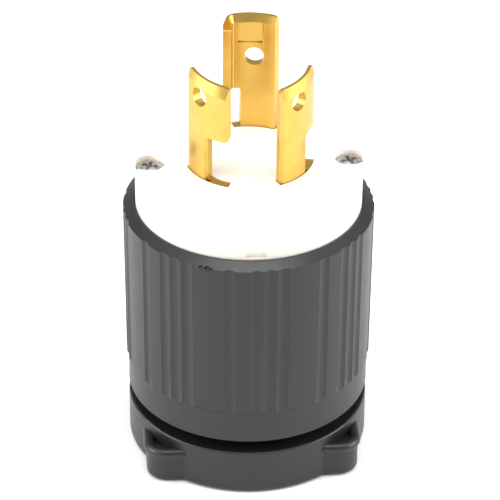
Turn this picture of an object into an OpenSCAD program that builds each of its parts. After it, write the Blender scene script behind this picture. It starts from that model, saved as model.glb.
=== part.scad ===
// Locking power plug, 30 A, two line blades and a ground blade.
// Millimetres. The plug stands on its cord clamp with the blades up (+Z).
// The origin is the middle of the clamp's foot, and the assembly screws lie on the X axis.

/* [Stack of heights] */
// Height of the cord clamp
clamp_h = 10.1; // [9.5:0.1:14]
// Open space between the clamp and the shell
clamp_gap = 2.6; // [1:0.1:4]
// Height of the smooth band at the shell's foot
band_h = 7.3; // [6:0.1:12]
// Height of the fluted part of the shell, up to its lip
body_h = 36.2; // [34:0.1:44]
// How far the insulator stands above the shell's lip
insulator_proud = 10.3; // [8:0.1:14]

/* [Shell] */
// How far the fluted part's foot stands out round the insulator
rim_w = 2.2; // [2:0.1:4]
// How much wider the fluted part is under the lip than at its foot
shell_draft = 0.7; // [0:0.1:1]
// Step from the fluted part in to the smooth band
band_step = 0.45; // [0.45:0.05:1]
// Thickness of the shell's wall at the fluted part's foot
shell_wall = 4; // [3.5:0.1:4.5]
// Thickness of the shell's floor
shell_floor_t = 4.3; // [3:0.1:6]
// Depth of the insulator's seat below the lip
seat_depth = 5.2; // [4:0.1:8]
// Height of the lip's chamfer
lip_chamfer_h = 1.3; // [0.8:0.1:2]
// Width of the flat top of the lip
lip_flat = 0.35; // [0.2:0.05:0.8]
// Height of the chamfer between the fluted part and the band
band_chamfer_h = 0.45; // [0.2:0.05:0.8]

/* [Flutes] */
// Groups of flutes round the shell
flute_groups = 8; // [4:1:8]
// Flutes in each group
flutes_per_group = 5; // [3:1:6]
// Angle from one flute to the next
flute_pitch = 6.2; // [5:0.1:6.5]
// Depth of a flute at the shell's foot
flute_depth = 0.4; // [0.2:0.02:0.6]
// How much shallower a flute is under the lip
flute_fade = 0.1; // [0:0.02:0.2]

/* [Insulator] */
// Diameter of the two insulator pieces
insulator_d = 46; // [42:0.1:50]
// Thickness of the face plate
face_t = 3.8; // [3.6:0.1:5]
// Radius of the face's outer edge
face_edge_r = 0.55; // [0.2:0.05:1]
// Depth of the terminal housing below the insulator's seat
housing_drop = 18; // [17:0.5:20]
// Space between the housing and the wall of the wire space
housing_gap = 0.5; // [0.3:0.1:1]
// Thickness of the housing's wire-entry floor
housing_floor_t = 3.5; // [2:0.1:4]
// Diameter of each wire-entry hole
wire_hole_d = 6.4; // [4:0.1:7]
// Width of the thumbnail relief on the front of the housing
relief_w = 4.3; // [2:0.1:6]
// Depth of that relief
relief_depth = 0.5; // [0.2:0.05:0.8]

/* [Blades] */
// Outer radius of the circle that the blades are bent to
blade_r = 13.05; // [12.6:0.05:13.4]
// Thickness of the blade strip
blade_t = 1.85; // [1.5:0.05:2]
// Height of the two line blades above the face, taken at the plug's axis
line_blade_h = 22.4; // [20:0.1:25]
// How much further out the left line blade sits
left_blade_lift = 0.9; // [0:0.1:1.2]
// Slope of the line blades' tips, which rise towards the back
tip_slope = 6; // [0:0.5:8]
// Height of the ground blade above the face
ground_blade_h = 25.8; // [22:0.1:28]
// Angle where the left line blade starts
left_from = 196; // [192:0.5:198]
// Angle where the right line blade starts
right_from = 295; // [293:0.5:300]
// Angle where the ground blade starts
ground_from = 59; // [54:0.5:62]
// Angle covered by the left line blade's stem
left_stem_arc = 29.5; // [26:0.5:34]
// Angle covered by the left line blade's locking hook
left_hook_arc = 22; // [18:0.5:26]
// Angle covered by the right line blade's stem
right_stem_arc = 33; // [26:0.5:34]
// Angle covered by the right line blade's locking hook
right_hook_arc = 20.5; // [18:0.5:26]
// Angle covered by the ground blade's stem
ground_stem_arc = 36.2; // [34:0.2:42]
// Angle covered by the ground blade's locking hook, up to its bend
ground_hook_arc = 6.4; // [5:0.2:10]
// Height of the locking notch under each hook
notch_h = 9.1; // [7:0.1:11]
// Radius of the notch's inner corner and of the blades' outer corners
blade_corner_r = 0.7; // [0.3:0.1:1.5]
// Height of the bevel at each blade's tip
tip_bevel_h = 1.6; // [0.5:0.1:2.5]
// How far the bevel cuts into each face of the strip
tip_bevel = 0.6; // [0.1:0.05:0.6]
// Width of the bevel on the line blades' upright outer edges
edge_bevel = 0.6; // [0.2:0.05:0.8]
// Diameter of the hole in each blade
blade_hole_d = 4; // [3:0.1:4.5]
// Distance from a line blade's tip to its hole
line_hole_drop = 5; // [4.6:0.1:7]
// Angle from where a line blade starts to its hole
line_hole_arc = 20.5; // [14:0.5:24]
// Distance from the ground blade's tip to its hole
ground_hole_drop = 9.4; // [8.4:0.1:11]
// Angle from where the ground blade starts to its hole
ground_hole_arc = 22.3; // [14:0.1:26]
// Angle of the bend at the end of the ground blade's hook
ground_bend = 74; // [60:1:90]
// Radius inside that bend
ground_bend_r = 0.8; // [0.4:0.1:1.2]
// Length of the tab beyond that bend
ground_tab = 2.2; // [1:0.1:4]
// Width of the coined flat above the ground blade's hole
coin_w = 5; // [3:0.1:6]
// Angle from where the ground blade starts to the middle of the coined flat
coin_arc = 26.5; // [18:0.5:28]
// Height of the coined flat
coin_h = 4.6; // [3:0.1:5]
// Depth of the coined flat
coin_depth = 0.18; // [0.1:0.02:0.3]

/* [Terminals] */
// Height of the terminal screws above the wire-entry floor
terminal_h = 10; // [9:0.1:10.5]
// Width of the terminal tabs and pressure plates
tab_w = 9.4; // [8.4:0.1:9.4]
// Height of a pressure plate
plate_h = 9; // [7:0.1:9]
// Thickness of a pressure plate
plate_t = 1.6; // [1:0.1:2]
// Thread diameter of the terminal screws
terminal_screw_d = 3.5; // [3:0.1:4]
// Head diameter of the terminal screws
terminal_head_d = 6.4; // [5.6:0.1:7]
// Head height of the terminal screws
terminal_head_h = 2.2; // [1.4:0.1:2.4]

/* [Assembly screws] */
// Distance from the insulator's edge in to the axis of each assembly screw
assembly_inset = 2.8; // [2.6:0.1:3.1]
// How far the assembly screws lie in front of the plug's axis
assembly_y = 2.1; // [0:0.1:3]
// Thread diameter of the assembly screws
assembly_screw_d = 3.5; // [3:0.1:3.6]
// Head diameter of the assembly screws
assembly_head_d = 5.5; // [5:0.1:5.7]
// Head height of the assembly screws
assembly_head_h = 1.8; // [1.2:0.1:1.8]
// How far the heads lie below the face
assembly_head_sink = 0.4; // [0.2:0.1:1.2]
// Space round a head in its recess
assembly_head_play = 0.3; // [0.1:0.05:0.5]
// Outer diameter of the brass inserts in the shell
insert_d = 5.2; // [4.6:0.1:5.4]
// Length of those inserts
insert_h = 8; // [5:0.5:10]

/* [Cord clamp] */
// Radius of the clamp's lower edge
clamp_edge_r = 1.2; // [0.4:0.1:1.6]
// Radius of the clamp's upper edge
clamp_top_r = 0.4; // [0.2:0.05:1]
// How far the flat sides of the screw pads lie inside the clamp's round body
pad_inset = 2.85; // [2:0.05:3.5]
// How far their flat fronts and backs lie inside it
pad_front_inset = 4.75; // [4:0.05:5.2]
// Height of the flat front of a front pad
pad_h = 5.9; // [5:0.1:6.5]
// Height of the flat back of a rear pad, which hides a screw head
rear_pad_h = 7.9; // [7.8:0.05:8]
// Radius of the bead along a pad's upper edge
bead_r = 1.1; // [0.8:0.05:1.2]
// How far the bead stands out from a pad's flat faces
bead_proud = 0.55; // [0.2:0.05:0.7]
// Depth of the hollow behind the bead, below the bead's middle
bead_hollow = 0.3; // [0.1:0.05:0.6]
// Corner radius of a pad seen from below
pad_corner_r = 4.2; // [3:0.1:5]
// Space between the two clamp halves
split_gap = 0.6; // [0.2:0.1:1.5]
// Diameter of the shell's neck
neck_d = 27; // [26:0.1:27]
// Diameter of the flange at the neck's end
flange_d = 30; // [29.4:0.1:30.2]
// Thickness of that flange
flange_t = 2.5; // [2:0.1:2.8]
// Thickness of the clamp's collar above the flange
collar_t = 1.7; // [1.4:0.1:2]
// Diameter of the cord passage through the neck
cord_bore_d = 22; // [20:0.1:22.5]
// Diameter between the teeth of the clamp's jaws
jaw_d = 17.6; // [14:0.1:18]
// Height of a jaw tooth above the wall of the jaw
tooth_h = 1; // [0.5:0.1:1.5]
// Teeth along the jaws
jaw_teeth = 3; // [2:1:4]
// Width of the flat tip of a tooth
tooth_flat = 0.4; // [0.2:0.05:0.6]

/* [Clamp screws] */
// Distance from a pad's flat side in to its clamp screw
clamp_screw_inset = 3.5; // [3.3:0.1:3.7]
// Thread diameter of the clamp screws
clamp_screw_d = 3.5; // [3:0.1:3.6]
// Head diameter of the clamp screws
clamp_head_d = 5.6; // [5:0.1:5.8]
// Head height of the clamp screws
clamp_head_h = 2.4; // [1.8:0.1:2.6]
// Width across the square clamp nuts
nut_w = 5.8; // [5:0.1:5.8]
// Thickness of those nuts
nut_t = 2.8; // [2:0.1:3.2]

/* [Cord seal] */
// Diameter of the rubber seal round the cord
seal_d = 29; // [27:0.1:32]
// Thickness of the seal
seal_t = 2.4; // [1.6:0.1:3]
// Diameter of the seal's hole
seal_hole_d = 15; // [10:0.1:18]

/* [Clearances] */
// Between pieces that slide into each other
slide_gap = 0.15; // [0.1:0.01:0.2]
// Between a thread and its hole, and round pressed parts
thread_gap = 0.05; // [0.03:0.01:0.1]
// Between the clamp and the neck's flange
flange_gap = 0.25; // [0.15:0.01:0.3]

/* [Hidden] */
$fn = 96;
cut = 1; // how far a cutting shape passes the face it cuts
z_band = clamp_h + clamp_gap;
z_body = z_band + band_h;
z_lip = z_body + body_h;
z_face = z_lip + insulator_proud;
z_parting = z_face - face_t;
z_seat = z_lip - seat_depth;
z_floor = z_band + shell_floor_t;
insulator_r = insulator_d / 2;
mouth_r = insulator_r + slide_gap;

foot_r = insulator_r + rim_w;
lip_r = foot_r + shell_draft / 2;
band_r = foot_r - band_step;
shell_bore_r = foot_r - shell_wall;
housing_r = shell_bore_r - housing_gap;
flute_lean = atan((shell_draft / 2 + flute_fade) / (body_h - lip_chamfer_h));
flute_half = foot_r * sin(flute_pitch / 2);
flute_r = (flute_half * flute_half + flute_depth * flute_depth) / (2 * flute_depth);
flute_centre = foot_r - flute_depth + flute_r;
flute_group_arc = (flutes_per_group - 1) * flute_pitch;

z_housing = z_seat - housing_drop;
z_terminal = z_housing + housing_floor_t + terminal_h;
chamber_head = 7.3; // free height above a pressure plate
z_ceiling = z_terminal + plate_h / 2 + chamber_head;
shoulder_h = 3; // height of the blades' shoulders under the face plate
z_shoulder = z_parting - shoulder_h;
boss_wall = 0.8;
boss_tail = 6; // how far a boss runs on below its insert
boss_root = 1; // how far a boss runs into the shell's wall
boss_r = insert_d / 2 + boss_wall;
boss_h = insert_h + boss_tail;
chamber_w = tab_w + 4 * slide_gap;
chamber_back = 1.5; // free depth behind a blade's tab
chamber_depth = 8.8; // from there to the chamber's outer wall
wall_under_seat = 0.8;
relief_lift = 0.4; // of the thumbnail relief above the lip
parting_bevel_w = 0.15;
tab_tail = 2.5; // how far a tab runs on below its pressure plate
tab_top = z_ceiling - 2 * slide_gap;
tab_bottom = z_terminal - plate_h / 2 - tab_tail;
blade_in = blade_r - blade_t;
tab_inset = 0.05; // how far a tab's flat faces lie inside the strip's curved ones
tab_face = blade_r - tab_inset;
ear_arc = 1.5;
shoulder_sink = 0.15;
tip_over = 2; // what is left above a tip before it is cut to its slope
tab_cut = 1.8; // size of the corner cut off the ground blade's tab

assembly_r = insulator_r - assembly_inset;
assembly_x = sqrt(assembly_r * assembly_r - assembly_y * assembly_y);

clamp_r = band_r;
pad_x = clamp_r - pad_inset;
pad_y = clamp_r - pad_front_inset;
clamp_screw_x = pad_x - clamp_screw_inset;
z_flange = clamp_h - collar_t - flange_gap - flange_t;
z_jaw = z_flange - flange_gap;
clamp_screw_drop = 0.4; // of the screws below the clamp's middle
clamp_screw_z = clamp_h / 2 - clamp_screw_drop;
clamp_head_sink = 0.4;
head_seat_y = pad_y - clamp_head_h - clamp_head_sink;
screw_tail = 1.1; // how far a screw runs on past what it is screwed into
nut_slot_end = 2.5; // free depth past a clamp nut
nut_y = 9.5; // from the split to a nut
seal_seat = 1;

brass = "#c9a53a";
white_nylon = "#ece5dc";
black_nylon = "#2a2a2a";
zinc = "#b9bbbd";

// ---- shapes shared by several pieces ----

// A piece of a tube wall between two radii, over an angle, from height z
module arc_wall(r_in, r_out, from, arc, z, h) {
    rotate([0, 0, from])
        translate([0, 0, z])
            rotate_extrude(angle = arc)
                translate([r_in, 0])
                    square([r_out - r_in, h]);
}

// Whatever stands along a radius at an angle: X runs outwards, Y counterclockwise
module at_angle(angle) {
    rotate([0, 0, angle])
        children();
}

// A disc's section with its upper outer edge rounded
module rounded_top_section(r, h, edge) {
    square([r - edge, h]);
    square([r, h - edge]);
    translate([r - edge, h - edge])
        circle(r = edge);
}

// Cross recess of a screw head, cut down from z = 0
module cross_recess(size, depth) {
    for (turn = [0, 90])
        rotate([0, 0, turn])
            translate([-size / 2, -size / 8, -depth])
                cube([size, size / 4, depth + cut]);
    translate([0, 0, -depth])
        cylinder(d1 = size / 4, d2 = size / 1.8, h = depth + 0.01);
}

// A screw with a domed head: the head's seat is z = 0 and the thread points down
module machine_screw(d, length, head_d, head_h) {
    difference() {
        union() {
            intersection() {
                cylinder(d = head_d, h = head_h);
                translate([0, 0, head_h - head_d])
                    sphere(r = head_d);
            }
            translate([0, 0, -length])
                cylinder(d = d, h = length + 0.2);
        }
        translate([0, 0, head_h])
            cross_recess(head_d * 0.6, head_h * 0.6);
        translate([0, 0, -length])
            rotate_extrude()
                polygon([[d / 2 - 0.5, -cut], [d / 2 + cut, -cut], [d / 2 + cut, cut + 0.5]]);
    }
}

// ---- insulator ----

// A slot that lets a blade through
module blade_slot(from, arc, z, h, room = slide_gap) {
    play = room / blade_r * 180 / PI;
    arc_wall(blade_in - room, blade_r + room, from - play, arc + 2 * play, z, h);
}

module line_left() {
    $from = left_from;
    $stem = left_stem_arc;
    $hook = left_hook_arc;
    $lift = left_blade_lift;
    $slope = tip_slope;
    children();
}

module line_right() {
    $from = right_from;
    $stem = right_stem_arc;
    $hook = right_hook_arc;
    $lift = 0;
    $slope = tip_slope;
    children();
}

module ground() {
    $from = ground_from;
    $stem = ground_stem_arc;
    $hook = ground_hook_arc;
    $lift = 0;
    $slope = 0;
    children();
}

module for_each_blade() {
    line_left() children();
    line_right() children();
    ground() children();
}

module at_assembly_screw(side) {
    translate([side * assembly_x, -assembly_y, 0])
        children();
}

module for_each_assembly_screw() {
    for (side = [-1, 1])
        at_assembly_screw(side)
            children();
}

module face_plate() {
    color(white_nylon)
        difference() {
            translate([0, 0, z_parting])
                rotate_extrude()
                    rounded_top_section(insulator_r, face_t, face_edge_r);
            for_each_blade()
                blade_slot($from, $stem + $hook, z_parting - cut, face_t + 2 * cut);
            for_each_assembly_screw() {
                translate([0, 0, z_face - assembly_head_sink - assembly_head_h])
                    cylinder(d = assembly_head_d + 2 * assembly_head_play, h = face_t + cut);
                translate([0, 0, z_parting - cut])
                    cylinder(d = assembly_screw_d + 2 * slide_gap, h = face_t + 2 * cut);
            }
        }
}

// The pocket that holds one terminal, with its wire entry and the slots for its blade
module terminal_chamber() {
    middle = $from + $stem / 2;
    at_angle(middle) {
        translate([blade_in - chamber_back, -chamber_w / 2, z_housing + housing_floor_t])
            cube([insulator_d, chamber_w, z_seat - wall_under_seat - z_housing - housing_floor_t]);
        translate([blade_in - chamber_back, -chamber_w / 2, z_housing + housing_floor_t])
            cube([chamber_depth, chamber_w, z_ceiling - z_housing - housing_floor_t]);
        translate([blade_r + plate_t / 2, 0, z_housing - cut])
            cylinder(d = wire_hole_d, h = housing_floor_t + 2 * cut);
    }
    blade_slot($from, $stem, z_ceiling - cut, z_shoulder - z_ceiling + 2 * cut);
    blade_slot($from - ear_arc, $stem + $hook + 2 * ear_arc,
        z_shoulder, z_parting - z_shoulder + cut, slide_gap + thread_gap);
}

module terminal_housing() {
    color(white_nylon)
        difference() {
            union() {
                translate([0, 0, z_seat])
                    cylinder(r = insulator_r, h = z_parting - z_seat);
                translate([0, 0, z_housing])
                    cylinder(r = housing_r, h = z_seat - z_housing + cut);
            }
            for_each_blade() terminal_chamber();
            for_each_assembly_screw() {
                translate([0, 0, z_housing - cut])
                    cylinder(r = boss_r + 2 * slide_gap, h = z_seat - z_housing + cut);
                translate([0, 0, z_housing - cut])
                    cylinder(d = assembly_screw_d + 2 * slide_gap, h = z_parting);
            }
            front_relief();
            parting_bevel();
        }
}

// Thumbnail relief on the housing's front, just above the shell's lip
module front_relief() {
    z = z_lip + relief_lift;
    intersection() {
        translate([0, relief_depth - insulator_r, z])
            rotate([90, 0, 0])
                cylinder(d = relief_w, h = insulator_r);
        translate([-relief_w, -insulator_d, z])
            cube([2 * relief_w, insulator_d, relief_w / 4]);
    }
}

// Fine bevel round the housing's top edge, which shows as the parting line
module parting_bevel() {
    b = parting_bevel_w;
    translate([0, 0, z_parting])
        rotate_extrude()
            polygon([[insulator_r - 2 * b, b], [insulator_r + b, b], [insulator_r + b, -2 * b]]);
}

// ---- blades ----

// What three small cuts take off a square corner that points to +X and +Y
module corner_cut(r) {
    near = [for (turn = [30, 60]) r * [cos(turn), sin(turn)]];
    run_out = [r - near[0][0], -near[0][1]] / 2;
    polygon([
        [r + run_out[0], run_out[1]], near[0], near[1],
        [run_out[1], r + run_out[0]], [1.5 * r, 1.5 * r]
    ]);
}

// Blunts a blade's corner at an angle and height; side and up give the way the corner points
module blade_corner(angle, z, side, up, r) {
    at_angle(angle)
        translate([blade_in - cut, 0, z])
            rotate([90, 0, 90])
                linear_extrude(blade_t + 2 * cut)
                    pointing(side, up)
                        translate([-r, -r])
                            corner_cut(r);
}

module pointing(side, up) {
    mirror([side < 0 ? 1 : 0, 0])
        mirror([0, up < 0 ? 1 : 0])
            children();
}

// Cuts the strip away over an angle and between two heights
module strip_cut(from, arc, z_low, z_high) {
    arc_wall(blade_in - cut, blade_r + cut, from, arc, z_low, z_high - z_low);
}

// The locking notch under a hook, with a rounded inner corner
module locking_notch() {
    r = blade_corner_r;
    reach = blade_r * sin($hook) + 2 * cut;
    h = notch_h + $lift + shoulder_sink;
    at_angle($from + $stem)
        translate([blade_in / 2, 0, z_face - shoulder_sink])
            rotate([90, 0, 90])
                linear_extrude(blade_r) {
                    square([reach, h - r]);
                    translate([r, 0])
                        square([reach - r, h]);
                    translate([r, h - r])
                        circle(r = r);
                }
}

// Height of a sloping tip at an angle on the blade's outer face
function tip_at(z_tip, angle) = z_tip + blade_r * sin(angle) * tan($slope);

// The strip of one blade with its hook, its shoulder in the insulator and its terminal tab
module blade(z_tip, hole_arc, hole_drop) {
    z_over = z_tip + tip_over;
    arc = $stem + $hook;
    middle = $from + $stem / 2;
    relief = 0.25;
    difference() {
        union() {
            arc_wall(blade_in, blade_r, $from - ear_arc, arc + 2 * ear_arc,
                tab_top - 2 * relief, z_over - tab_top + 2 * relief);
            at_angle(middle)
                translate([blade_in - tab_inset, -tab_w / 2, tab_bottom])
                    cube([blade_t, tab_w, tab_top - tab_bottom]);
        }
        strip_cut($from - 8 * ear_arc, 8 * ear_arc, tab_top - 3 * relief, z_shoulder);
        strip_cut($from + $stem, $hook + 2 * ear_arc, tab_top - 3 * relief, z_shoulder);
        strip_cut($from - 2 * ear_arc, 2 * ear_arc, z_parting - slide_gap, z_over + cut);
        strip_cut($from + arc, 2 * ear_arc, z_parting - slide_gap, z_over + cut);
        locking_notch();
        at_angle($from + hole_arc)
            translate([0, 0, z_tip - hole_drop])
                rotate([0, 90, 0])
                    cylinder(d = blade_hole_d, h = blade_r + cut);
        at_angle(middle)
            translate([0, 0, z_terminal])
                rotate([0, 90, 0])
                    cylinder(d = terminal_screw_d + 2 * thread_gap, h = blade_r + cut);
        tip(z_tip);
        blade_corner($from, tip_at(z_tip, $from), -1, 1, blade_corner_r);
    }
}

// Cuts a blade to its sloping height, with a bevel on both faces
module tip(z_tip) {
    b = tip_bevel;
    h = tip_bevel_h;
    reach = blade_r + cut;
    translate([0, 0, z_tip])
        rotate([$slope, 0, 0]) {
            rotate_extrude() {
                polygon([[blade_r + b, -2 * h], [blade_r + b, h], [blade_r - 2 * b, h]]);
                polygon([[blade_in - b, -2 * h], [blade_in + 2 * b, h], [blade_in - b, h]]);
            }
            translate([-reach, -reach, 0])
                cube([2 * reach, 2 * reach, 2 * tip_over]);
        }
}

// Bevels the strip's outer edge at an angle; side gives the way the edge faces
module upright_bevel(angle, side, z_low, z_high) {
    b = edge_bevel;
    at_angle(angle)
        translate([blade_r, 0, z_low])
            linear_extrude(z_high - z_low)
                polygon([[-2 * b, side * b], [b, -2 * side * b], [b, side * b]]);
}

module line_blade() {
    z_root = z_face - shoulder_sink - cut;
    z_hook = z_face + notch_h + $lift;
    z_tip = z_face + line_blade_h + $lift;
    arc = $stem + $hook;
    difference() {
        blade(z_tip, line_hole_arc, line_hole_drop);
        upright_bevel($from, -1, z_root, z_tip + cut);
        upright_bevel($from + $stem, 1, z_root, z_hook - blade_corner_r);
        upright_bevel($from + arc, 1, z_hook - cut, z_tip + cut);
        blade_corner($from + arc, tip_at(z_tip, $from + arc), 1, 1, blade_corner_r);
        blade_corner($from + arc, z_hook, 1, -1, blade_corner_r);
    }
}

module line_blade_left() {
    color(brass)
        line_left() line_blade();
}

module line_blade_right() {
    color(brass)
        line_right() line_blade();
}

module ground_blade() {
    z_tip = z_face + ground_blade_h;
    color(brass)
        ground() {
            difference() {
                blade(z_tip, ground_hole_arc, ground_hole_drop);
                at_angle($from + coin_arc)
                    coined_flat(z_tip);
            }
            at_angle($from + $stem + $hook)
                hook_end(z_face + notch_h, z_tip);
        }
}

// The section of the ground blade's hook end, which lies an inset inside the strip's faces
module hook_end_section(h, inset) {
    inner = ground_bend_r + inset;
    outer = ground_bend_r + blade_t - inset;
    polygon([
        [inner, inset], [outer, inset], [outer, h - tip_bevel_h],
        [outer - tip_bevel, h - inset], [inner + tip_bevel, h - inset], [inner, h - tip_bevel_h]
    ]);
}

// The end of the ground blade's hook: a bend inwards and a short tab with its top corner cut off
module hook_end(z_low, z_tip) {
    root = 0.4;
    h = z_tip - z_low;
    translate([blade_in - ground_bend_r, 0, z_low]) {
        rotate([90, 0, 0])
            linear_extrude(root)
                hook_end_section(h, tab_inset);
        rotate_extrude(angle = ground_bend)
            hook_end_section(h, tab_inset);
        rotate([0, 0, ground_bend])
            difference() {
                translate([0, ground_tab, 0])
                    rotate([90, 0, 0])
                        linear_extrude(ground_tab + root / 2)
                            hook_end_section(h, 2 * tab_inset);
                translate([ground_bend_r, ground_tab, h])
                    rotate([45, 0, 0])
                        cube([4 * blade_t, 4 * tab_cut, sqrt(2) * tab_cut], center = true);
            }
    }
}

module coined_flat(z_tip) {
    translate([blade_in - cut, -coin_w / 2, z_tip - tip_bevel_h - coin_h])
        cube([cut + coin_depth, coin_w, coin_h]);
}

// ---- terminals ----

// Pressure plate that clamps the bared wires, with two grooves on its inner face
module terminal_plate() {
    middle = $from + $stem / 2;
    at_angle(middle)
        translate([tab_face, 0, z_terminal])
            difference() {
                translate([0, -tab_w / 2, -plate_h / 2])
                    cube([plate_t, tab_w, plate_h]);
                rotate([0, 90, 0])
                    translate([0, 0, -cut])
                        cylinder(d = terminal_screw_d + 2 * slide_gap, h = plate_t + 2 * cut);
                for (side = [-1, 1])
                    translate([0, side * tab_w / 3.2, 0])
                        rotate([0, 0, 45])
                            cube([0.9, 0.9, plate_h + cut], center = true);
            }
}

module terminal_screw() {
    middle = $from + $stem / 2;
    at_angle(middle)
        translate([tab_face + plate_t, 0, z_terminal])
            rotate([0, 90, 0])
                machine_screw(terminal_screw_d, plate_t + blade_t + screw_tail, terminal_head_d, terminal_head_h);
}

module terminal_plate_left() {
    color(zinc) line_left() terminal_plate();
}

module terminal_plate_right() {
    color(zinc) line_right() terminal_plate();
}

module terminal_plate_ground() {
    color(zinc) ground() terminal_plate();
}

module terminal_screw_left() {
    color(brass) line_left() terminal_screw();
}

module terminal_screw_right() {
    color(brass) line_right() terminal_screw();
}

module terminal_screw_ground() {
    color("#3d7a4a") ground() terminal_screw();
}

// ---- shell ----

// Half section of the shell's outside, from the band's foot to the lip
module shell_section() {
    edge = 0.5;
    polygon([
        [0, z_band], [band_r - edge, z_band], [band_r, z_band + edge],
        [band_r, z_body], [foot_r, z_body + band_chamfer_h],
        [lip_r, z_lip - lip_chamfer_h], [mouth_r + lip_flat, z_lip], [0, z_lip]
    ]);
}

module flutes() {
    for (group = [0 : flute_groups - 1])
        for (step = [0 : flutes_per_group - 1])
            at_angle(-90 + group * 360 / flute_groups + step * flute_pitch - flute_group_arc / 2)
                translate([flute_centre, 0, z_body])
                    rotate([0, flute_lean, 0])
                        translate([0, 0, -cut])
                            cylinder(r = flute_r, h = body_h + 2 * cut, $fn = 48);
}

// Posts inside the shell that take the assembly screws
module screw_bosses() {
    intersection() {
        for_each_assembly_screw()
            translate([0, 0, z_seat - boss_h])
                cylinder(r = boss_r, h = boss_h);
        cylinder(r = shell_bore_r + boss_root, h = z_lip);
    }
}

module shell() {
    color(black_nylon)
        difference() {
            union() {
                difference() {
                    rotate_extrude() shell_section();
                    flutes();
                    translate([0, 0, z_floor])
                        cylinder(r = shell_bore_r, h = z_lip);
                }
                screw_bosses();
                neck();
            }
            translate([0, 0, z_seat])
                cylinder(r = mouth_r, h = seat_depth + cut);
            translate([0, 0, z_flange - cut])
                cylinder(d = cord_bore_d, h = z_lip - z_flange);
            translate([0, 0, z_floor - seal_seat])
                cylinder(d = seal_d + 2 * slide_gap, h = seal_seat + cut);
            for_each_assembly_screw() {
                translate([0, 0, z_seat - insert_h])
                    cylinder(d = insert_d + 2 * thread_gap, h = insert_h + cut);
                translate([0, 0, z_seat - boss_h + 2])
                    cylinder(d = assembly_screw_d + 4 * thread_gap, h = boss_h);
            }
            lip_nicks();
        }
}

// The neck that the cord clamp grips, with the flange at its end
module neck() {
    translate([0, 0, z_flange])
        cylinder(d = flange_d, h = flange_t);
    translate([0, 0, z_flange])
        cylinder(d = neck_d, h = z_band - z_flange + cut);
}

// Two small nicks knocked into the lip's edge
module lip_nicks() {
    for (nick = [[244.6, 0.5], [247.4, 0.6], [249.4, 0.4]])
        at_angle(nick[0])
            translate([lip_r, 0, z_lip - lip_chamfer_h])
                sphere(r = nick[1], $fn = 24);
}

module shell_insert(side) {
    color(brass)
        at_assembly_screw(side)
            translate([0, 0, z_seat - insert_h])
                difference() {
                    cylinder(d = insert_d, h = insert_h);
                    translate([0, 0, -cut])
                        cylinder(d = assembly_screw_d + 2 * thread_gap, h = insert_h + 2 * cut);
                }
}

module assembly_screw(side) {
    z_head = z_face - assembly_head_sink - assembly_head_h;
    color(zinc)
        at_assembly_screw(side)
            translate([0, 0, z_head])
                rotate([0, 0, side * 20])
                    machine_screw(assembly_screw_d, z_head - z_seat + insert_h, assembly_head_d, assembly_head_h);
}

module shell_insert_left() {
    shell_insert(-1);
}

module shell_insert_right() {
    shell_insert(1);
}

module assembly_screw_left() {
    assembly_screw(-1);
}

module assembly_screw_right() {
    assembly_screw(1);
}

module cord_seal() {
    color("#3a3a3c")
        translate([0, 0, z_floor - seal_seat])
            difference() {
                cylinder(d = seal_d, h = seal_t);
                translate([0, 0, -cut])
                    cylinder(d = seal_hole_d, h = seal_t + 2 * cut);
                translate([0, 0, seal_t / 2])
                    cylinder(d1 = seal_hole_d, d2 = seal_hole_d + 5, h = seal_t / 2 + 0.01);
            }
}

// ---- cord clamp ----

// The clamp's round body with rounded edges
module clamp_round() {
    rotate_extrude() {
        translate([0, clamp_edge_r])
            square([clamp_r, clamp_h - clamp_edge_r - clamp_top_r]);
        square([clamp_r - clamp_edge_r, clamp_edge_r + cut]);
        translate([clamp_r - clamp_edge_r, clamp_edge_r])
            circle(r = clamp_edge_r);
        translate([0, clamp_h - clamp_top_r - cut])
            square([clamp_r - clamp_top_r, clamp_top_r + cut]);
        translate([clamp_r - clamp_top_r, clamp_h - clamp_top_r])
            circle(r = clamp_top_r);
    }
}

// Section through a pad's edge, X outwards: a rounded foot, a flat face and a bead on top
module pad_section(flat_h) {
    face = pad_corner_r;
    inset = bead_r - bead_proud;
    bead_z = flat_h + sqrt(bead_r * bead_r - inset * inset);
    translate([0, clamp_edge_r])
        square([face, bead_z - bead_hollow - clamp_edge_r]);
    square([face - clamp_edge_r, clamp_edge_r + cut]);
    translate([face - clamp_edge_r, clamp_edge_r])
        circle(r = clamp_edge_r);
    translate([face - inset, bead_z])
        circle(r = bead_r);
}

// The pads' edges all round: straight along the sides, the front and the back, and round the corners
module clamp_pads(flat_h) {
    corner_x = pad_x - pad_corner_r;
    corner_y = pad_y - pad_corner_r;
    for (side = [0, 1])
        for (end = [0, 1])
            mirror([side, 0, 0])
                mirror([0, end, 0])
                    translate([corner_x, corner_y, 0])
                        rotate_extrude(angle = 90)
                            pad_section(flat_h);
    for (side = [0, 1])
        mirror([side, 0, 0])
            translate([corner_x, corner_y, 0])
                rotate([90, 0, 0])
                    linear_extrude(2 * corner_y)
                        pad_section(flat_h);
    for (end = [0, 1])
        mirror([0, end, 0])
            translate([-corner_x, corner_y, 0])
                rotate([90, 0, 90])
                    linear_extrude(2 * corner_x)
                        pad_section(flat_h);
}

// Section of the V groove on each side of a jaw tooth
module jaw_groove(tip_r, root_r, half_w) {
    polygon([[0, -half_w], [tip_r, -half_w], [root_r, 0], [tip_r, half_w], [0, half_w]]);
}

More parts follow.
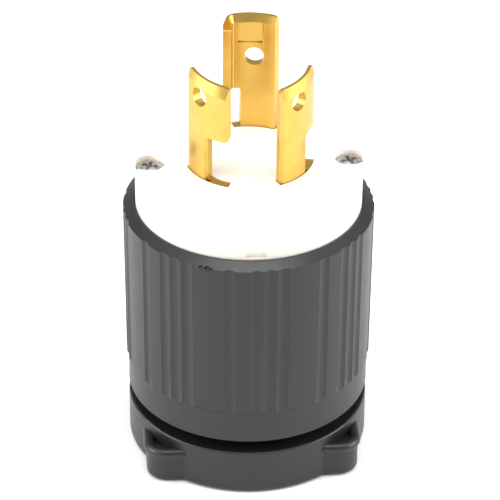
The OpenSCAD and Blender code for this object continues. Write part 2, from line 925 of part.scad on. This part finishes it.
// Everything the clamp closes on: the neck, its flange and the cord between the jaws' teeth
module clamp_inside() {
    tooth_r = jaw_d / 2;
    jaw_r = tooth_r + tooth_h;
    neck_r = neck_d / 2 + flange_gap;
    flange_r = flange_d / 2 + flange_gap;
    mouth_h = 0.6;
    pitch = z_jaw / jaw_teeth;
    rotate_extrude() {
        translate([0, z_flange])
            square([neck_r, clamp_h]);
        translate([0, z_jaw])
            square([flange_r, flange_t + 2 * flange_gap]);
        translate([0, -cut])
            square([tooth_r, z_jaw + 2 * cut]);
        for (tooth = [0 : jaw_teeth])
            translate([0, tooth * pitch])
                jaw_groove(tooth_r, jaw_r, (pitch - tooth_flat) / 2);
        polygon([[0, -cut], [jaw_r + mouth_h, -cut], [jaw_r + mouth_h, 0], [jaw_r, mouth_h], [0, mouth_h]]);
    }
}

module for_each_clamp_screw() {
    for (side = [-1, 1])
        translate([side * clamp_screw_x, 0, clamp_screw_z])
            children();
}

// The whole clamp before it is split into its halves
module clamp_body(flat_h) {
    difference() {
        union() {
            clamp_round();
            clamp_pads(flat_h);
        }
        clamp_inside();
    }
}

module cord_clamp_front() {
    nut_play = 0.2;
    color(black_nylon)
        difference() {
            intersection() {
                clamp_body(pad_h);
                translate([-2 * clamp_r, -2 * clamp_r - split_gap / 2, -cut])
                    cube([4 * clamp_r, 2 * clamp_r, clamp_h + 2 * cut]);
            }
            for_each_clamp_screw() {
                rotate([90, 0, 0])
                    cylinder(d = clamp_screw_d + 2 * slide_gap, h = nut_y + nut_t + nut_slot_end);
                translate([-nut_w / 2 - nut_play / 2, -nut_y - nut_t - nut_play / 2, -clamp_h])
                    cube([nut_w + nut_play, nut_t + nut_play, clamp_h + nut_w / 2 + nut_play / 2]);
            }
        }
}

module cord_clamp_rear() {
    color(black_nylon)
        difference() {
            intersection() {
                clamp_body(rear_pad_h);
                translate([-2 * clamp_r, split_gap / 2, -cut])
                    cube([4 * clamp_r, 2 * clamp_r, clamp_h + 2 * cut]);
            }
            for_each_clamp_screw() {
                rotate([-90, 0, 0])
                    cylinder(d = clamp_screw_d + 2 * slide_gap, h = pad_y + cut);
                translate([0, head_seat_y, 0])
                    rotate([-90, 0, 0])
                        cylinder(d = clamp_head_d + 4 * slide_gap, h = pad_y);
            }
        }
}

module clamp_screw(side) {
    color(zinc)
        translate([side * clamp_screw_x, head_seat_y, clamp_screw_z])
            rotate([-90, 0, 0])
                machine_screw(clamp_screw_d, head_seat_y + nut_y + nut_t + screw_tail, clamp_head_d, clamp_head_h);
}

module clamp_nut(side) {
    color(zinc)
        translate([side * clamp_screw_x, -nut_y, clamp_screw_z])
            rotate([90, 0, 0])
                difference() {
                    translate([-nut_w / 2, -nut_w / 2, 0])
                        cube([nut_w, nut_w, nut_t]);
                    translate([0, 0, -cut])
                        cylinder(d = clamp_screw_d + 2 * thread_gap, h = nut_t + 2 * cut);
                }
}

module clamp_screw_left() {
    clamp_screw(-1);
}

module clamp_screw_right() {
    clamp_screw(1);
}

module clamp_nut_left() {
    clamp_nut(-1);
}

module clamp_nut_right() {
    clamp_nut(1);
}

face_plate();
terminal_housing();
line_blade_left();
line_blade_right();
ground_blade();
terminal_plate_left();
terminal_plate_right();
terminal_plate_ground();
terminal_screw_left();
terminal_screw_right();
terminal_screw_ground();
shell();
shell_insert_left();
shell_insert_right();
assembly_screw_left();
assembly_screw_right();
cord_seal();
cord_clamp_front();
cord_clamp_rear();
clamp_screw_left();
clamp_screw_right();
clamp_nut_left();
clamp_nut_right();
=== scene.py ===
# %% [markdown]
# # A locking power plug
# The plug's pieces come from its CAD model and already have their true form and place. This
# lesson gives them their finishes and sets up a plain studio round them. Every length is in metres,
# in the model's own frame: the plug stands on its cord clamp at the origin and its blades point up.

# %% Loading the model
import math

import bpy
from mathutils import Matrix, Vector


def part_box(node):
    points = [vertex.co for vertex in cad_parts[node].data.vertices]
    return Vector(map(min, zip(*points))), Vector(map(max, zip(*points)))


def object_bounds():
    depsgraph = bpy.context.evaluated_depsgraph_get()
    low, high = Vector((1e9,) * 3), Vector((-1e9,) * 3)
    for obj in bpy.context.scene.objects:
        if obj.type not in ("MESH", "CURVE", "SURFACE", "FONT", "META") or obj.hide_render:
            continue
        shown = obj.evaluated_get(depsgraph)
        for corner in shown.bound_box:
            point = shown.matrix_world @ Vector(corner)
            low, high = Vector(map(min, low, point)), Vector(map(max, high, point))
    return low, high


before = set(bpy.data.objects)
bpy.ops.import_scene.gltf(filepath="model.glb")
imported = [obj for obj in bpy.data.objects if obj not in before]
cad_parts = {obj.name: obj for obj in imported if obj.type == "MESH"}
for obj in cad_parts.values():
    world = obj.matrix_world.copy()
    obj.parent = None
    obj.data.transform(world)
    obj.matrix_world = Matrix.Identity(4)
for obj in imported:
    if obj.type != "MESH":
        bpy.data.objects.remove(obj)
cad_low, cad_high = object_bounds()
MM = 0.001
print("CAD box in mm:", [round(v / MM, 1) for v in (*cad_low, *cad_high)])

# %% [markdown]
# ## Heights and radii
# Places are read off the model's pieces, so that the camera and the lamps keep to the plug when
# a size in the model changes.

# %% Reading the plug's main sizes
face_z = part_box("face_plate")[1].z
lip_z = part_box("shell")[1].z
face_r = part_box("face_plate")[1].x
print("face", round(face_z / MM, 2), "lip", round(lip_z / MM, 2))

# %% [markdown]
# ## The camera
# A long lens well away from the plug flattens it as a product picture does. The camera is turned
# in three steps: a small roll about its own axis, the tilt down, and a turn round the plug.

# %% Placing the camera
CAMERA_TILT = math.radians(33.05)
CAMERA_ROLL = math.radians(0.41)
CAMERA_TURN = math.radians(-4)
CAMERA_LENS = 246.9
SENSOR_WIDTH = 36
NEAREST_SEEN = 0.05
FURTHEST_SEEN = 20
camera_distance = 30 * face_r
aim_right = 0.009 * face_r
aim_down = -0.835 * face_r

camera_data = bpy.data.cameras.new("camera")
camera_data.lens = CAMERA_LENS
camera_data.sensor_width = SENSOR_WIDTH
camera_data.clip_start = NEAREST_SEEN
camera_data.clip_end = FURTHEST_SEEN
camera = bpy.data.objects.new("camera", camera_data)
bpy.context.scene.collection.objects.link(camera)
look = Matrix.Rotation(CAMERA_TURN, 4, "Z")
look = look @ Matrix.Rotation(math.pi / 2 - CAMERA_TILT, 4, "X")
look = look @ Matrix.Rotation(CAMERA_ROLL, 4, "Z")
from_face = look @ Vector((aim_right, aim_down, camera_distance))
camera.matrix_world = Matrix.Translation(from_face + Vector((0, 0, face_z))) @ look
bpy.context.scene.camera = camera
bpy.context.scene.view_settings.view_transform = "Standard"

# %% [markdown]
# ## Shader arithmetic
# A mask is worked out from several textures, and that reads best as a formula. The class below
# wraps a socket, and each operator on it adds one Math node.


# %% Writing shader maths as formulas
class Value:
    def __init__(self, tree, socket):
        self.tree = tree
        self.socket = socket

    def math(self, operation, *others):
        node = self.tree.nodes.new("ShaderNodeMath")
        node.operation = operation
        for place, part in enumerate((self, *others)):
            plug_in(self.tree, node.inputs[place], part)
        return Value(self.tree, node.outputs[0])

    def turned(self, operation, other):
        node = self.tree.nodes.new("ShaderNodeMath")
        node.operation = operation
        plug_in(self.tree, node.inputs[0], other)
        plug_in(self.tree, node.inputs[1], self)
        return Value(self.tree, node.outputs[0])

    def __add__(self, other):
        return self.math("ADD", other)

    def __radd__(self, other):
        return self.math("ADD", other)

    def __sub__(self, other):
        return self.math("SUBTRACT", other)

    def __rsub__(self, other):
        return self.turned("SUBTRACT", other)

    def __mul__(self, other):
        return self.math("MULTIPLY", other)

    def __rmul__(self, other):
        return self.math("MULTIPLY", other)


def plug_in(tree, socket, part):
    """Sets a socket from a value, a node's output or a plain number or colour."""
    if isinstance(part, Value):
        part = part.socket
    if isinstance(part, bpy.types.NodeSocket):
        tree.links.new(part, socket)
    else:
        socket.default_value = part


# %% [markdown]
# ## A finish
# Each finish is one material with a Principled shader. What is the same all over is set on the
# shader itself, and what varies is linked to it. Textures read Object coordinates, so that they
# keep their scale in metres on every piece.


# %% Making a finish
def rgb(red, green, blue):
    """A colour as it is seen on a screen, from 0 to 255, as the shader's linear numbers."""
    shares = [v / 255 for v in (red, green, blue)]
    return (*[v / 12.92 if v < 0.04045 else ((v + 0.055) / 1.055) ** 2.4 for v in shares], 1)


class Finish:
    def __init__(self, name, **constants):
        self.material = bpy.data.materials.new(name)
        self.material.use_nodes = True
        self.tree = self.material.node_tree
        self.shader = self.tree.nodes["Principled BSDF"]
        self.place = self.tree.nodes.new("ShaderNodeTexCoord").outputs["Object"]
        for socket, constant in constants.items():
            self.shader.inputs[socket.replace("_", " ")].default_value = constant

    def node(self, kind, settings=None, **parts):
        made = self.tree.nodes.new("ShaderNode" + kind)
        for name, setting in (settings or {}).items():
            setattr(made, name, setting)
        for socket, part in parts.items():
            plug_in(self.tree, made.inputs[socket.replace("_", " ")], part)
        return made

    def noise(self, size, detail=2, roughness=0.5, stretch=(1, 1, 1)):
        """Noise from 0 to 1 with blobs about size across."""
        where = self.node("Mapping", Vector=self.place, Scale=stretch).outputs[0]
        made = self.node(
            "TexNoise", Vector=where, Scale=1 / size, Detail=detail, Roughness=roughness
        )
        return Value(self.tree, made.outputs[0])

    def blend(self, mask, first, second):
        """The first colour where the mask is 0 and the second where it is 1."""
        made = self.node("Mix", {"data_type": "RGBA"})
        plug_in(self.tree, made.inputs[0], mask)
        plug_in(self.tree, made.inputs[6], first)
        plug_in(self.tree, made.inputs[7], second)
        return made.outputs[2]

    def set(self, socket, part):
        plug_in(self.tree, self.shader.inputs[socket], part)

    def bump(self, height, depth, strength=1.0):
        """Raises the surface by up to depth where height is 1."""
        made = self.node("Bump", Height=height, Distance=depth, Strength=strength)
        self.set("Normal", made.outputs[0])

    def cover(self, *names):
        for name in names:
            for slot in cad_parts[name].material_slots:
                slot.material = self.material
            print(self.material.name, "on", name)


# %% [markdown]
# ## Black nylon
# The shell and the clamp are moulded in glass-filled nylon. It is black, with a satin skin that
# is a little uneven, so its reflections break up softly.


# %% Black nylon
def black_nylon():
    finish = Finish("black_nylon", Roughness=0.36, Specular_IOR_Level=0.5)
    cloud = finish.noise(6 * MM, detail=3)
    grain = finish.noise(0.25 * MM, detail=2)
    finish.set("Base Color", finish.blend(cloud, rgb(22, 22, 23), rgb(31, 31, 32)))
    finish.set("Roughness", 0.3 + 0.1 * cloud + 0.06 * grain)
    finish.bump(grain * 0.6 + cloud * 0.4, 0.02 * MM, 0.35)
    return finish


black_nylon().cover("shell", "cord_clamp_front", "cord_clamp_rear")

# %% [markdown]
# ## White nylon
# The insulator is moulded in a warm white nylon that lets some light in, which softens its edges.


# %% White nylon
def white_nylon():
    finish = Finish("white_nylon", Roughness=0.32, Subsurface_Weight=0.25, Subsurface_Scale=0.002)
    finish.shader.inputs["Subsurface Radius"].default_value = (1.0, 0.6, 0.3)
    cloud = finish.noise(8 * MM, detail=3)
    finish.set("Base Color", finish.blend(cloud, rgb(236, 228, 216), rgb(241, 235, 226)))
    finish.set("Roughness", 0.28 + 0.1 * cloud)
    finish.bump(finish.noise(0.5 * MM), 0.01 * MM, 0.3)
    return finish


white_nylon().cover("face_plate", "terminal_housing")

# %% [markdown]
# ## Brass
# The blades are stamped from brass strip. Rolling leaves fine lines along the strip, and handling
# leaves it a little dull.


# %% Brass
def brass():
    finish = Finish("brass", Metallic=1.0)
    cloud = finish.noise(4 * MM, detail=4)
    lines = finish.noise(0.4 * MM, detail=2, stretch=(1, 1, 0.04))
    finish.set("Base Color", finish.blend(cloud, rgb(204, 164, 78), rgb(226, 190, 104)))
    finish.set("Roughness", 0.22 + 0.14 * cloud + 0.06 * lines)
    finish.bump(lines, 0.01 * MM, 0.3)
    return finish


brass().cover(
    "line_blade_left",
    "line_blade_right",
    "ground_blade",
    "terminal_screw_left",
    "terminal_screw_right",
    "shell_insert_left",
    "shell_insert_right",
)


# %% [markdown]
# ## Zinc-plated steel
# The screws, nuts and pressure plates are steel with a thin coat of zinc, which is a little cloudy.
# The ground's terminal screw has the same finish in green.


# %% Zinc-plated steel
def zinc(name="zinc_steel", low=rgb(168, 170, 172), high=rgb(206, 206, 204)):
    finish = Finish(name, Metallic=1.0)
    cloud = finish.noise(1.2 * MM, detail=4)
    finish.set("Base Color", finish.blend(cloud, low, high))
    finish.set("Roughness", 0.3 + 0.2 * cloud)
    return finish


zinc().cover(
    "assembly_screw_left",
    "assembly_screw_right",
    "clamp_screw_left",
    "clamp_screw_right",
    "clamp_nut_left",
    "clamp_nut_right",
    "terminal_plate_left",
    "terminal_plate_right",
    "terminal_plate_ground",
)
zinc("green_steel", rgb(38, 92, 56), rgb(62, 124, 78)).cover("terminal_screw_ground")


# %% [markdown]
# ## Seal rubber
# The cord seal is soft dark rubber, dull and slightly dusty.


# %% Seal rubber
def seal_rubber():
    finish = Finish("seal_rubber", Roughness=0.7)
    dust = finish.noise(1.5 * MM, detail=4)
    finish.set("Base Color", finish.blend(dust, rgb(28, 28, 29), rgb(46, 45, 44)))
    finish.bump(finish.noise(0.3 * MM), 0.03 * MM, 0.4)
    return finish


seal_rubber().cover("cord_seal")

# %% [markdown]
# ## The studio
# A large pale floor, a surround that lights the plug softly and that the camera sees as white,
# and wide soft lamps at both sides and above.


# %% Floor and surround
def white_to_camera(tree, lit, strength):
    """Mixes a lit shader with plain white where a camera or glass ray meets it."""
    path = tree.nodes.new("ShaderNodeLightPath")
    glow = tree.nodes.new("ShaderNodeEmission")
    glow.inputs["Strength"].default_value = strength
    mix = tree.nodes.new("ShaderNodeMixShader")
    seen = Value(tree, path.outputs["Is Camera Ray"])
    seen = seen.math("MAXIMUM", Value(tree, path.outputs["Is Transmission Ray"]))
    plug_in(tree, mix.inputs[0], seen)
    tree.links.new(lit, mix.inputs[1])
    tree.links.new(glow.outputs[0], mix.inputs[2])
    return mix.outputs[0]


bpy.ops.object.select_all(action="DESELECT")
bpy.ops.mesh.primitive_plane_add(size=3, location=(0, 0, cad_low.z))
floor = bpy.context.object
floor.name = "floor"
floor_paint = bpy.data.materials.new("floor_paint")
floor_paint.use_nodes = True
floor_paint.node_tree.nodes["Principled BSDF"].inputs["Base Color"].default_value = (0.9, 0.9, 0.9, 1)
floor_paint.node_tree.nodes["Principled BSDF"].inputs["Roughness"].default_value = 0.9
floor.data.materials.append(floor_paint)

world = bpy.data.worlds.new("surround")
bpy.context.scene.world = world
world.use_nodes = True
sky = world.node_tree.nodes["Background"]
sky.inputs["Color"].default_value = (1, 1, 1, 1)
path = world.node_tree.nodes.new("ShaderNodeLightPath")
seen = Value(world.node_tree, path.outputs["Is Camera Ray"])
plug_in(world.node_tree, sky.inputs["Strength"], 0.5 + 0.5 * seen)


# %% Lamps
def soft_lamp(name, azimuth, height, distance, size, power):
    """A square lamp that faces the plug's middle. Azimuth 0 is the front, 90 the right."""
    turn = math.radians(azimuth)
    middle = Vector((0, 0, face_z / 2))
    place = Vector((distance * math.sin(turn), -distance * math.cos(turn), height))
    lamp = bpy.data.lights.new(name, "AREA")
    lamp.shape = "SQUARE"
    lamp.size = size
    lamp.energy = power
    holder = bpy.data.objects.new(name, lamp)
    holder.location = place
    holder.rotation_euler = (middle - place).to_track_quat("-Z", "Y").to_euler()
    bpy.context.scene.collection.objects.link(holder)


soft_lamp("left_lamp", azimuth=-80, height=0.25, distance=0.5, size=0.4, power=3)
soft_lamp("right_lamp", azimuth=80, height=0.25, distance=0.5, size=0.4, power=3)
soft_lamp("top_lamp", azimuth=0, height=0.7, distance=0.05, size=0.5, power=4)
